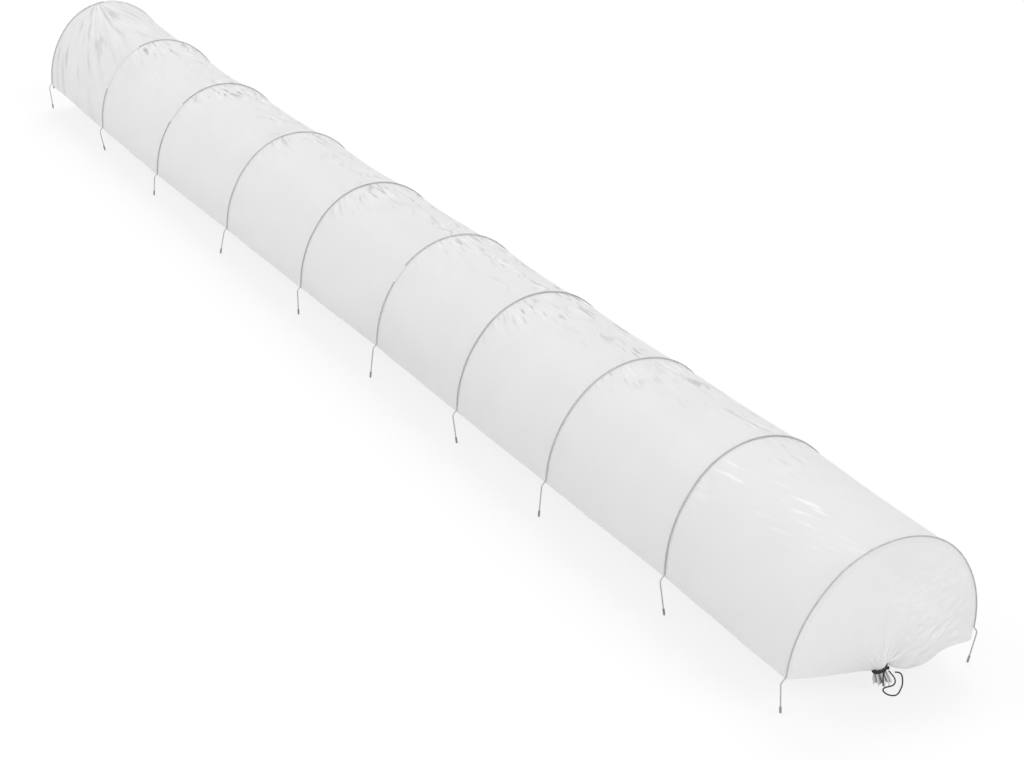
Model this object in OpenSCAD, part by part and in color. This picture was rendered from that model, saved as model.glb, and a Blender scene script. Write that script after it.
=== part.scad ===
// Low grow tunnel: wire hoops in film pockets carry one film cover, drawn shut with cord at both ends.
// Millimetres. X runs across, Y along the tunnel with the front end at -Y, Z up from the ground.

/* [Hoops] */
// Distance from the feet of the first hoop to the feet of the last
tunnel_run = 4790; // [3000:1:7000]
// Width of the arch at its feet, between wire centres
arch_w = 450; // [360:1:700]
// Rise of the arch from its feet to the crown, at the wire centre
arch_rise = 266; // [240:1:420]
// Angle of the arch, up from its feet, that the flank bend takes
shoulder_angle = 42; // [30:1:60]
// Usual height of the arch's feet over the ground
leg_h = 93; // [80:1:160]
// Diameter of the hoop wire
wire_d = 3; // [2:0.1:4.5]
// How far each leg steps out below the arch
crank_out = 10; // [4:0.5:18]
// Bend radius of that step, at the wire centre
crank_r = 15; // [10:0.5:20]

/* [Leg caps] */
// Diameter of the round-ended cap on each leg
cap_d = 5; // [4:0.1:9]
// Length of the cap
cap_len = 16; // [10:0.5:30]
// Room between the wire and the bore of its cap
cap_clear = 0.1; // [0.05:0.05:0.2]

/* [Film] */
// Thickness of the cover and the end films
film_t = 0.8; // [0.5:0.1:1.5]
// Thickness of the pocket wall round a hoop
pocket_t = 0.6; // [0.4:0.1:1.2]
// Room between a hoop and its pocket
pocket_clear = 0.3; // [0.1:0.1:0.6]
// Room between a pocket and the cover that it sits on
seat_clear = 0.2; // [0.1:0.1:0.4]
// Deepest sag of the cover between two hoops
sag_depth = 16; // [0:1:30]
// How far the hem hangs below the arch's feet
hem_drop = 12; // [4:1:30]

/* [Drawn ends] */
// Height of the middle of the tied neck over the ground
neck_h = 52; // [40:1:60]
// How far the neck stands out in front of its end hoop
neck_out = 10; // [8:1:30]
// Diameter of the gathered neck
neck_d = 22; // [14:1:30]
// Diameter of the frill below the neck, between its ruffles and hollows
frill_d = 34; // [26:1:50]
// Depth of the frill's ruffles at its hem
ruffle_depth = 4; // [1:0.5:6]
// Height of the frill's hem over the ground
frill_h = 12; // [6:1:24]
// Number of ruffles round the frill
ruffle_count = 8; // [5:1:10]
// Depth of the pleats that run from the arch to the neck
pleat_depth = 6; // [0:0.5:10]
// Number of pleats across an end film
pleat_count = 8; // [4:1:10]
// Diameter of the draw cord
cord_d = 3; // [2:0.5:4]
// Turns of cord in each tie
tie_turns = 3; // [1:1:4]
// Diameter of the knot on each tie
knot_d = 8; // [6:0.5:12]
// Room between the neck, the turns of the tie and the cord's end
tie_clear = 0.2; // [0.1:0.1:0.4]

/* [Hidden] */
$fn = 96;
// Each hoop's place off an even row, as a share of one bay, front to rear
hoop_shift_shares = [0, -0.14, -0.11, -0.24, -0.33, -0.36, -0.27, -0.10, -0.08, 0];
// How much higher each hoop's arch stands on its legs, as a share of the usual height
hoop_lift_shares = [0, 0.10, 0.06, 0.03, 0.06, -0.04, -0.08, -0.16, -0.08, 0.03];
// Each hoop's lean about its feet in degrees, with the crown to the rear where positive
hoop_lean_degs = [-8.5, 0, -6, -2, -3.5, -2, -4.5, -3.5, 4, 2.5];
// How far each hoop's legs splay in degrees, with their tips inward where positive
leg_toe_degs = [7.5, 8.5, -2, 8.5, -5.5, 1.5, -10.5, -3.5, 10, 5.5];
// Each bay's sag, as a share of the deepest
bay_sag_shares = [0.2, 0.2, 0.3, 0.4, 0.5, 0.6, 0.7, 1, 1];
// Rows of a bay, as shares of the way from one hoop to the next
bay_row_shares = [0, 0.25, 0.5, 0.75, 1];
// Rows of an end film, as shares of the way from the arch to the neck
fan_row_shares = [0, 0.2, 0.4, 0.6, 0.8, 1];
// Rings of a frill, as shares of the drop from the neck's foot to the hem
frill_row_shares = [0, 0.3, 0.65, 1];
// Route of the cord tail, from the knot down to the ground and round its loop
tail_route = [
    [9, -2422, 49], [15, -2424, 41], [22, -2423, 32], [28, -2419, 23], [32, -2415, 14],
    [32, -2411, 6], [27, -2408, 2.5], [19, -2407, 2], [11, -2408, 2], [5, -2413, 2],
    [2, -2421, 2], [2, -2430, 2], [6, -2438, 2], [14, -2442, 2], [23, -2439, 2],
    [32, -2432, 2], [41, -2424, 2], [50, -2415, 2], [58, -2405, 2], [65, -2395, 2],
    [71, -2385, 2], [75, -2376, 2], [74, -2368, 2], [68, -2364, 2]
];
// Place of the front neck off the middle, as a share of its diameter
neck_side_share = -0.3;
cord_sides = 8;
arch_steps = 24;
fan_steps = 64;
ruffle_steps = 6;
hoop_count = len(hoop_shift_shares);
bay = tunnel_run / (hoop_count - 1);

// Three-centred arch: a crown bend between two flank bends that start upright at its feet
half_w = arch_w / 2;
wire_r = wire_d / 2;
joint_swell = wire_d / 60;
centre_gap = (arch_rise - half_w) / (cos(shoulder_angle) + sin(shoulder_angle) - 1);
flank_r = half_w + centre_gap * cos(shoulder_angle);
crown_r = arch_rise - centre_gap * sin(shoulder_angle);
crank_angle = acos(1 - crank_out / (2 * crank_r));
crank_h = 2 * crank_r * sin(crank_angle);
foot_z = cap_d / 2;

pocket_r = wire_r + pocket_clear + pocket_t;
cover_out = -pocket_r - seat_clear;
neck_r = neck_d / 2;
frill_r = frill_d / 2;
cord_r = cord_d / 2;
turn_pitch = cord_d + tie_clear;
tie_h = tie_turns * turn_pitch;
neck_top = neck_h + tie_h / 2;
neck_low = neck_h - tie_h / 2;
tie_r = neck_r + tie_clear + cord_r;
knot_reach = neck_r + 2 * tie_clear + knot_d / 2;
knot_angle = -35;

function mix(a, b, share) = a + (b - a) * share;
function unit(v) = v / norm(v);
function lean(i) = hoop_lean_degs[i - 1];
function toe(i) = leg_toe_degs[i - 1];
function hoop_y(i) = (i - 1 + hoop_shift_shares[i - 1]) * bay - tunnel_run / 2;
function arch_low(i) = leg_h * (1 + hoop_lift_shares[i - 1]);

// The foot of a hoop's lower bend, where its straight leg starts, and the leg's length down to its cap
function leg_x(i) = half_w + crank_out - crank_r * (1 - cos(toe(i)));
function leg_z(i) = arch_low(i) - crank_h - crank_r * sin(toe(i));
function leg_len(i) = (leg_z(i) - foot_z) / cos(toe(i));
function tip_x(i) = leg_x(i) - leg_len(i) * sin(toe(i));

// A point of the upright hoop's plane, moved with the hoop as it leans about its feet
function at_hoop(i, x, y, z) = [
    x,
    hoop_y(i) + y * cos(lean(i)) + (z - foot_z) * sin(lean(i)),
    foot_z - y * sin(lean(i)) + (z - foot_z) * cos(lean(i))
];

// The arch at an angle from 180 at its left foot to 0 at its right one, set out from the wire's centre
function arch_side(angle) = angle > 180 - shoulder_angle ? -1 : (angle < shoulder_angle ? 1 : 0);
function arch_x(angle, out) =
    let (side = arch_side(angle), r = (side == 0 ? crown_r : flank_r) + out)
    r * cos(angle) - side * (flank_r - half_w);
function arch_z(angle, out) =
    let (side = arch_side(angle), r = (side == 0 ? crown_r : flank_r) + out)
    r * sin(angle) + (side == 0 ? arch_rise - crown_r : 0);

// A point of the film across an arch: an angle of the arch and how far it hangs below the arch's feet
function film_cols(steps) = concat(
    [[180, hem_drop]], [for (k = [0 : steps]) [180 - 180 * k / steps, 0]], [[0, hem_drop]]);
function film_at_hoop(i, col, y, out) =
    at_hoop(i, arch_x(col[0], out), y, arch_low(i) + arch_z(col[0], out) - col[1]);

// The cover across a bay: each row hangs between the two arches and sags most at mid-bay and crown
function cover_point(i, col, share, out) =
    let (sunk = out - sag_depth * bay_sag_shares[i - 1] * 4 * share * (1 - share) * sin(col[0]))
    mix(film_at_hoop(i, col, 0, sunk), film_at_hoop(i + 1, col, 0, sunk), share);

// The end film: a fan from the arch to the front half of the neck, with pleats deepest midway
function end_sign(i) = i == 1 ? -1 : 1;
function neck_x(i) = i == 1 ? neck_d * neck_side_share : 0;
function neck_y(i) = at_hoop(i, 0, 0, neck_h)[1] + end_sign(i) * neck_out;
function neck_point(i, angle, r, z) = [neck_x(i) + r * cos(angle), neck_y(i) + r * sin(angle), z];
function fan_point(i, col, share, depth) =
    let (
        edge = film_at_hoop(i, col, end_sign(i) * (film_t - depth), cover_out),
        neck = neck_point(i, end_sign(i) * col[0], neck_r - depth, neck_top),
        pleat = pleat_depth * sin(180 * share) * share * sin(2 * pleat_count * col[0]) * sin(col[0])
    )
    mix(edge, neck, share) + [0, end_sign(i) * pleat, 0];

// A frill's ring of ruffles at one height
function ruffle_ring(i, r, depth, z) = [
    for (k = [0 : ruffle_count * ruffle_steps - 1])
        let (angle = 360 * k / (ruffle_count * ruffle_steps))
        neck_point(i, angle, r + depth * sin(ruffle_count * angle), z)
];

// The rings of a tube along a route, each square to the route
function route_ring(route, k, r) =
    let (
        ahead = unit(route[min(k + 1, len(route) - 1)] - route[max(k - 1, 0)]),
        across = unit(cross(ahead, [0, 0, 1])),
        over = cross(across, ahead)
    )
    [for (s = [0 : cord_sides - 1])
        route[k] + r * (across * cos(360 * s / cord_sides) + over * sin(360 * s / cord_sides))];

module to_hoop(i)
    translate([0, hoop_y(i), foot_z]) rotate([-lean(i), 0, 0]) translate([0, 0, -foot_z]) children();

module both_sides() {
    children();
    mirror([1, 0, 0]) children();
}

// A round bend in the hoop's plane, about a centre, with the bar's section as its child
module bend(x, z, r, start, sweep)
    translate([x, 0, z]) rotate([90, 0, 0]) rotate([0, 0, start])
        rotate_extrude(angle = sweep) translate([r, 0]) children();

// A slight swell of a round bar where one bend runs into the next
module joint(x, z, r) translate([x, 0, z]) sphere(r = r + joint_swell);

// A round bar along a hoop's arch
module arch_bar(i, r) translate([0, 0, arch_low(i)]) {
    bend(0, arch_rise - crown_r, crown_r, shoulder_angle, 180 - 2 * shoulder_angle) circle(r = r);
    both_sides() {
        bend(half_w - flank_r, 0, flank_r, 0, shoulder_angle) circle(r = r);
        joint(arch_x(shoulder_angle, 0), arch_z(shoulder_angle, 0), r);
    }
}

// The lower end of a hoop's right leg, with the leg running up from it
module to_leg_tip(i) translate([tip_x(i), 0, foot_z]) rotate([0, toe(i), 0]) children();

// A round bar down a hoop's step and its straight leg
module leg_bar(i, r) {
    bend(half_w + crank_r, arch_low(i), crank_r, 180, crank_angle) circle(r = r);
    bend(half_w + crank_out - crank_r, arch_low(i) - crank_h, crank_r, -toe(i), crank_angle + toe(i))
        circle(r = r);
    to_leg_tip(i) translate([0, 0, cap_clear]) cylinder(r = r, h = leg_len(i) - cap_clear);
    joint(half_w, arch_low(i), r);
    joint(half_w + crank_out / 2, arch_low(i) - crank_h / 2, r);
    joint(leg_x(i), leg_z(i), r);
}

// A closed sheet between an outer and an inner grid of points
module thick_sheet(outer, inner) {
    rows = len(outer);
    cols = len(outer[0]);
    back = rows * cols;
    points = concat([for (row = outer) each row], [for (row = inner) each row]);
    skin = [
        for (r = [0 : rows - 2], c = [0 : cols - 2])
            let (a = r * cols + c, b = a + 1, d = a + cols, e = d + 1)
            each [[a, b, e], [a, e, d], [back + a, back + e, back + b], [back + a, back + d, back + e]]
    ];
    row_ends = [
        for (r = [0 : rows - 2])
            let (a = r * cols, d = a + cols, b = a + cols - 1, e = d + cols - 1)
            each [[a, d, back + d], [a, back + d, back + a], [b, back + e, e], [b, back + b, back + e]]
    ];
    row_sides = [
        for (c = [0 : cols - 2])
            let (a = c, b = c + 1, d = (rows - 1) * cols + c, e = d + 1)
            each [[a, back + b, b], [a, back + a, back + b], [d, e, back + e], [d, back + e, back + d]]
    ];
    polyhedron(points, concat(skin, row_ends, row_sides));
}

// A closed solid of stacked rings
module ring_stack(rings) {
    count = len(rings[0]);
    last = (len(rings) - 1) * count;
    sides = [
        for (r = [0 : len(rings) - 2], c = [0 : count - 1])
            let (a = r * count + c, b = r * count + (c + 1) % count)
            each [[a, b, b + count], [a, b + count, a + count]]
    ];
    ends = [[for (c = [count - 1 : -1 : 0]) c], [for (c = [0 : count - 1]) last + c]];
    polyhedron([for (ring = rings) each ring], concat(sides, ends));
}

// One bent wire: arch, steps and straight legs
module hoop(i) color("silver") to_hoop(i) {
    arch_bar(i, wire_r);
    both_sides() leg_bar(i, wire_r);
}

// Film sleeve round one hoop's arch
module hoop_pocket(i) color("gainsboro") to_hoop(i)
    difference() {
        arch_bar(i, pocket_r);
        arch_bar(i, pocket_r - pocket_t);
    }

module cover_bay(i) {
    cols = film_cols(arch_steps);
    color("whitesmoke") thick_sheet(
        [for (s = bay_row_shares) [for (col = cols) cover_point(i, col, s, cover_out)]],
        [for (s = bay_row_shares) [for (col = cols) cover_point(i, col, s, cover_out - film_t)]]
    );
}

module leg_cap(i) to_hoop(i) to_leg_tip(i)
    difference() {
        union() {
            sphere(d = cap_d);
            cylinder(d = cap_d, h = cap_len - foot_z);
        }
        cylinder(d = wire_d + 2 * cap_clear, h = cap_len);
    }

module left_leg_caps() color("gray") mirror([1, 0, 0]) for (i = [1 : hoop_count]) leg_cap(i);
module right_leg_caps() color("gray") for (i = [1 : hoop_count]) leg_cap(i);

module end_film(i) {
    across = film_cols(fan_steps);
    cols = i == 1 ? [for (k = [len(across) - 1 : -1 : 0]) across[k]] : across;
    color("whitesmoke") thick_sheet(
        [for (s = fan_row_shares) [for (col = cols) fan_point(i, col, s, 0)]],
        [for (s = fan_row_shares) [for (col = cols) fan_point(i, col, s, film_t)]]
    );
}

// The bunched film inside the tie and the ruffled hem below it
module gather_frill(i) color("lightgray") ring_stack(concat(
    [for (s = [1 : -1 : 0]) ruffle_ring(
        i, mix(neck_r, frill_r, frill_row_shares[0]), 0, mix(neck_low, neck_top, s))],
    [for (k = [1 : len(frill_row_shares) - 1]) let (s = frill_row_shares[k]) ruffle_ring(
        i, mix(neck_r, frill_r, s), ruffle_depth * s, mix(neck_low, frill_h, s))]
));

// Cord turns wound round the neck, with a knot at the side
module cord_tie(i) color("dimgray") translate([neck_x(i), neck_y(i), 0]) {
    for (k = [0 : tie_turns - 1])
        translate([0, 0, neck_low + (k + 0.5) * turn_pitch])
            rotate_extrude() translate([tie_r, 0]) circle(d = cord_d);
    rotate([0, 0, i == 1 ? knot_angle : 180 + knot_angle])
        translate([knot_reach, 0, neck_h]) sphere(d = knot_d);
}

module cord_tail() color("dimgray")
    ring_stack([for (k = [0 : len(tail_route) - 1]) route_ring(tail_route, k, cord_r)]);

for (i = [1 : hoop_count]) {
    hoop(i);
    hoop_pocket(i);
}
for (i = [1 : hoop_count - 1])
    cover_bay(i);
left_leg_caps();
right_leg_caps();
end_film(1);  // front_end_film
end_film(hoop_count);  // rear_end_film
gather_frill(1);  // front_gather_frill
gather_frill(hoop_count);  // rear_gather_frill
cord_tie(1);  // front_cord_tie
cord_tie(hoop_count);  // rear_cord_tie
cord_tail();  // front_cord_tail
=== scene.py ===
import math

import bpy
import numpy as np
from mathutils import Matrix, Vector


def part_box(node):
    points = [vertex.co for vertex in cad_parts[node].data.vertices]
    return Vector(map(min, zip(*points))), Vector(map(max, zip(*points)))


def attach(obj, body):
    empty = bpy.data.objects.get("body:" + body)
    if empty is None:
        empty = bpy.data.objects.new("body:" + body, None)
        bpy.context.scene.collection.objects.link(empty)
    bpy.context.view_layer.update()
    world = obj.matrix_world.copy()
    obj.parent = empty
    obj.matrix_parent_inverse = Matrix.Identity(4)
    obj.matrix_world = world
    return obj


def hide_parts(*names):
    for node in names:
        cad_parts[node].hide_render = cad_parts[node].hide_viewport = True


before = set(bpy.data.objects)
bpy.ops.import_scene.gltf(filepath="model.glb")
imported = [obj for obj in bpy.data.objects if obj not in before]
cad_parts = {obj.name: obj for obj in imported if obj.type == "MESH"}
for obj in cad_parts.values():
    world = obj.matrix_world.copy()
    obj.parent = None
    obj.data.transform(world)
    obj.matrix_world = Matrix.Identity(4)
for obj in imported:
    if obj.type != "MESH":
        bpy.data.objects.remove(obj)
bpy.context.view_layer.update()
scene = bpy.context.scene
print("frame loaded,", len(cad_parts), "nodes")

# Shared helpers

metre = 1000  # millimetres
sharpAngle = 55  # degrees: an edge that bends more than this stays sharp
waveStretch = (0.7, 1.4)  # shortest and longest wave, as shares of the stated length
waveCalm = 1.6  # brings a sum of waves back to about -1 to 1
anyPhase = (0, 6)  # radians, where a ripple may start
noLength = 1e-12  # keeps a normal's length off zero
mixShare, mixUnder, mixOver, mixResult = 0, 6, 7, 2  # a Mix node's sockets when it mixes colours
pureWhite = "#FFFFFF"


def linear(hexColour):  # sRGB hex to the linear colour that the sockets take
    channels = [int(hexColour[k:k + 2], 16) / 255 for k in (1, 3, 5)]
    return [c / 12.92 if c <= 0.04045 else ((c + 0.055) / 1.055) ** 2.4 for c in channels] + [1.0]


def addNode(tree, kind, settings=None, values=None, links=None):
    node = tree.nodes.new(kind)
    for name, value in (settings or {}).items():
        setattr(node, name, value)
    for socket, value in (values or {}).items():
        node.inputs[socket].default_value = value
    for socket, source in (links or {}).items():
        tree.links.new(source, node.inputs[socket])
    return node


def newMaterial(name):
    material = bpy.data.materials.new(name)
    material.use_nodes = True
    material.node_tree.nodes.clear()
    return material, material.node_tree


def perMetre(millimetres):  # texture scale for a pattern of that size
    return metre / millimetres


def smoothStep(low, high, value):
    t = np.clip((value - low) / (high - low), 0, 1)
    return t * t * (3 - 2 * t)


def bell(value, middle, width):  # 1 at the middle, falling off to both sides
    return np.exp(-((value - middle) / width) ** 2)


def hump(share):  # 0 at both ends of a span and 1 half way
    return 4 * share * (1 - share)


def waves(u, v, look, extra=0):  # smooth noise of about the look's wavelength, from -1 to 1
    rng = np.random.default_rng(look["seed"] + extra)
    total = np.zeros(np.broadcast(u, v).shape)
    shortest, longest = waveStretch
    spans = rng.uniform((0, 0, shortest), (math.pi, 2 * math.pi, longest), (look["count"], 3))
    for turn, phase, stretch in spans:
        along = (u * math.cos(turn) + v * math.sin(turn)) * 2 * math.pi / (look["length"] * stretch)
        total += np.sin(along + phase)
    return total / math.sqrt(look["count"]) / waveCalm


def patches(u, v, look, extra=0):  # how strongly a pattern shows, in uneven patches
    return np.clip(look["base"] + waves(u, v, look, extra), 0, look["most"])


def newPiece(name, points, faces, material):
    mesh = bpy.data.meshes.new(name)
    mesh.from_pydata(np.asarray(points).tolist(), [], faces)
    mesh.materials.append(material)
    mesh.polygons.foreach_set("use_smooth", [True] * len(mesh.polygons))
    mesh.set_sharp_from_angle(angle=math.radians(sharpAngle))
    mesh.validate()
    piece = bpy.data.objects.new(name, mesh)
    scene.collection.objects.link(piece)
    return piece


def gridFaces(rows, cols, wrap=False, first=0, flip=False):
    faces = []
    for r in range(rows - 1):
        for c in range(cols if wrap else cols - 1):
            a, b = first + r * cols + c, first + r * cols + (c + 1) % cols
            quad = (a, b, b + cols, a + cols)
            faces.append(quad[::-1] if flip else quad)
    return faces


def gridNormals(points):
    across = np.gradient(points, axis=1)
    along = np.gradient(points, axis=0)
    normals = np.cross(across, along)
    return normals / np.maximum(np.linalg.norm(normals, axis=2, keepdims=True), noLength)


def filmShell(name, points, thickness, material):  # a closed sheet, thickened on its inner side
    rows, cols = points.shape[:2]
    inner = points - gridNormals(points) * thickness
    back = rows * cols
    faces = gridFaces(rows, cols) + gridFaces(rows, cols, first=back, flip=True)
    for c in range(cols - 1):
        last = (rows - 1) * cols + c
        faces += [(c + 1, c, back + c, back + c + 1), (last, last + 1, back + last + 1, back + last)]
    for r in range(rows - 1):
        a, b = r * cols, r * cols + cols - 1
        faces += [(a, a + cols, back + a + cols, back + a), (b + cols, b, back + b, back + b + cols)]
    both = np.concatenate([points.reshape(-1, 3), inner.reshape(-1, 3)])
    return newPiece(name, both, faces, material)


def closedRings(name, rings, material):  # stacked rings, closed at both ends
    rings = np.asarray(rings)
    count, sides = rings.shape[:2]
    faces = gridFaces(count, sides, wrap=True)
    faces += [tuple(range(sides - 1, -1, -1)), tuple(range((count - 1) * sides, count * sides))]
    return newPiece(name, rings.reshape(-1, 3), faces, material)


def markPaintedLight(piece, kind, place, depth):  # places and strengths of a pattern of painted shade and painted highlights, for both faces of a shell
    layers = ((kind + "Place", "FLOAT_VECTOR", "vector", place),
              (kind + "Depth", "FLOAT", "value", depth[..., None]))
    for name, form, field, values in layers:
        layer = piece.data.attributes.new(name, form, "POINT")
        layer.data.foreach_set(field, np.tile(values.reshape(-1, values.shape[-1]), (2, 1)).ravel())


def finishPiece(piece, slotName, *nodes):
    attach(piece, "root")
    if nodes:
        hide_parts(*nodes)


# Camera and light

cameraLook = dict(place=(-2.5918, -5.8885, 2.4357), turn=-0.4699, dip=0.3913,  # metres and radians
                  focalPixels=2441.4, imageWidth=1024, sensorWidth=36)


def makeCamera():
    data = bpy.data.cameras.new("camera")
    data.sensor_width = cameraLook["sensorWidth"]
    data.lens = cameraLook["focalPixels"] / cameraLook["imageWidth"] * data.sensor_width
    camera = bpy.data.objects.new("camera", data)
    camera.location = cameraLook["place"]
    camera.rotation_euler = (math.pi / 2 - cameraLook["dip"], 0, cameraLook["turn"])
    scene.collection.objects.link(camera)
    scene.camera = camera


makeCamera()
print("camera set")

lightLook = dict(  # turns and spreads are in degrees
    skyStrength=0.76, skyColour="#FBFBFC",
    topStrength=0.42, topSpread=60, topTurn=(-22, 14, 0),  # from above, the rear and the right
    fillStrength=1.02, fillSpread=90, fillTurn=(62, 0, -24),  # from the camera's side
    shadeSpread=42,  # these lamps light the floor alone
    shadeLamps=((5.2, (-30, 35, 0)), (4.7, (48, 38, 0)), (4.8, (-28, -50, 0))),
    floorColour="#7E7E7E", seenFloorShare=0.05, floorGlow=0.83, floorSize=60,
)


def seenRays(tree):  # 1 where the eye, a mirror or a clear film sees the surface, 0 for bounced light
    path = addNode(tree, "ShaderNodeLightPath")
    seen = path.outputs["Is Camera Ray"]
    for kind in ("Is Transmission Ray", "Is Glossy Ray"):
        seen = addNode(tree, "ShaderNodeMath", dict(operation="MAXIMUM"),
                       links={0: seen, 1: path.outputs[kind]}).outputs[0]
    return seen


def makeLamp(name, strength, turn, taker=None):
    sun = bpy.data.lights.new(name + "Light", "SUN")
    sun.energy = strength
    sun.angle = math.radians(lightLook[name + "Spread"])
    lamp = bpy.data.objects.new(name + "Light", sun)
    lamp.rotation_euler = [math.radians(a) for a in turn]
    scene.collection.objects.link(lamp)
    if taker:  # this lamp lights one thing only
        takers = bpy.data.collections.new(name + "Takers")
        takers.objects.link(taker)
        lamp.light_linking.receiver_collection = takers


def makeLight():
    world = bpy.data.worlds.new("softRoom")
    scene.world = world
    world.use_nodes = True
    tree = world.node_tree
    tree.nodes.clear()
    lit = addNode(tree, "ShaderNodeBackground",
                  values=dict(Color=linear(lightLook["skyColour"]), Strength=lightLook["skyStrength"]))
    white = addNode(tree, "ShaderNodeBackground", values=dict(Color=linear(pureWhite), Strength=1.0))
    both = addNode(tree, "ShaderNodeMixShader",
                   links={0: seenRays(tree), 1: lit.outputs[0], 2: white.outputs[0]})
    addNode(tree, "ShaderNodeOutputWorld", links=dict(Surface=both.outputs[0]))
    for name in ("top", "fill"):
        makeLamp(name, lightLook[name + "Strength"], lightLook[name + "Turn"])


def makeFloor():  # white paper floor: its glow is for the eye alone, and its shade stays
    material, tree = newMaterial("whitePaperFloor")
    seenGrey = [lightLook["seenFloorShare"]] * 3 + [1.0]
    paper = addNode(tree, "ShaderNodeBsdfDiffuse", values=dict(Color=linear(lightLook["floorColour"])))
    shade = addNode(tree, "ShaderNodeBsdfDiffuse", values=dict(Color=seenGrey))
    glow = addNode(tree, "ShaderNodeEmission",
                   values=dict(Color=linear(pureWhite), Strength=lightLook["floorGlow"]))
    shown = addNode(tree, "ShaderNodeAddShader", links={0: shade.outputs[0], 1: glow.outputs[0]})
    both = addNode(tree, "ShaderNodeMixShader",
                   links={0: seenRays(tree), 1: paper.outputs[0], 2: shown.outputs[0]})
    addNode(tree, "ShaderNodeOutputMaterial", links=dict(Surface=both.outputs[0]))
    half = lightLook["floorSize"] / 2
    corners = [(-half, -half, 0), (half, -half, 0), (half, half, 0), (-half, half, 0)]
    floor = newPiece("floor", corners, [(0, 1, 2, 3)], material)
    for strength, turn in lightLook["shadeLamps"]:  # its soft shade on all sides
        makeLamp("shade", strength, turn, floor)


scene.view_settings.view_transform = "Standard"
makeLight()
makeFloor()
print("light and floor set")

# Materials: pattern sizes are in millimetres, bump distances in metres

paintedStrokeLook = dict(dark=(0.46, 0.33), pale=(0.54, 0.67))  # noise where a stroke starts and where it is full: dark strokes are painted shade, pale ones painted highlights


def addPaintedCreaseLight(tree, kind):  # painted shade as dark strokes and painted highlights as pale strokes by the film's marks, pale alone where negative
    place = addNode(tree, "ShaderNodeAttribute", dict(attribute_name=kind + "Place"))
    depth = addNode(tree, "ShaderNodeAttribute", dict(attribute_name=kind + "Depth"))
    noise = addNode(tree, "ShaderNodeTexNoise", values=dict(Scale=1.0, Detail=2.0, Roughness=0.5),
                    links=dict(Vector=place.outputs["Vector"]))
    size = addNode(tree, "ShaderNodeMath", dict(operation="ABSOLUTE"), links={0: depth.outputs["Fac"]})
    strokes = []
    for tone, strength in (("dark", depth.outputs["Fac"]), ("pale", size.outputs[0])):
        start, full = paintedStrokeLook[tone]
        line = addNode(tree, "ShaderNodeMapRange", dict(interpolation_type="SMOOTHSTEP"),
                       {"From Min": start, "From Max": full}, dict(Value=noise.outputs["Fac"]))
        strokes.append(addNode(tree, "ShaderNodeMath", dict(operation="MULTIPLY", use_clamp=True),
                               links={0: line.outputs[0], 1: strength}).outputs[0])
    return strokes


def addSurface(tree, look, grain, values=None, links=None):  # shader, bump and a roughness that varies
    bump = addNode(tree, "ShaderNodeBump", values=look["bump"], links=dict(Height=grain))
    links = {**(links or {}), "Normal": bump.outputs[0]}
    if "roughness" in look:
        low, high = look["roughness"]
        links["Roughness"] = addNode(tree, "ShaderNodeMapRange", values={"To Min": low, "To Max": high},
                                     links=dict(Value=grain)).outputs[0]
    shader = addNode(tree, "ShaderNodeBsdfPrincipled", values={**look["shader"], **(values or {})},
                     links=links)
    addNode(tree, "ShaderNodeOutputMaterial", links=dict(Surface=shader.outputs[0]))


polytheneLook = dict(
    hazeSize=140, crinkleSize=14, crinkleStretch=(1.0, 0.18, 1.0),  # drawn out along the tunnel
    noPaintedLightHeight=0.28, fullPaintedLightHeight=0.06, paintedLightShare=0.6,  # metres: painted light, the film is painted paler low down to even out the shade that falls there
    # painted shade: the dark crease strokes' colours and the pleat valleys' colour; pale strokes are painted
    # highlights in white
    paintedCreaseShades=dict(pucker="#B2BAB6", streak="#C9CAD2"), fold="#7E8082",
    roughness=(0.30, 0.46), bump=dict(Strength=0.25, Distance=0.0006), shader=dict(IOR=1.51, Alpha=0.84),
)


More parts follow.
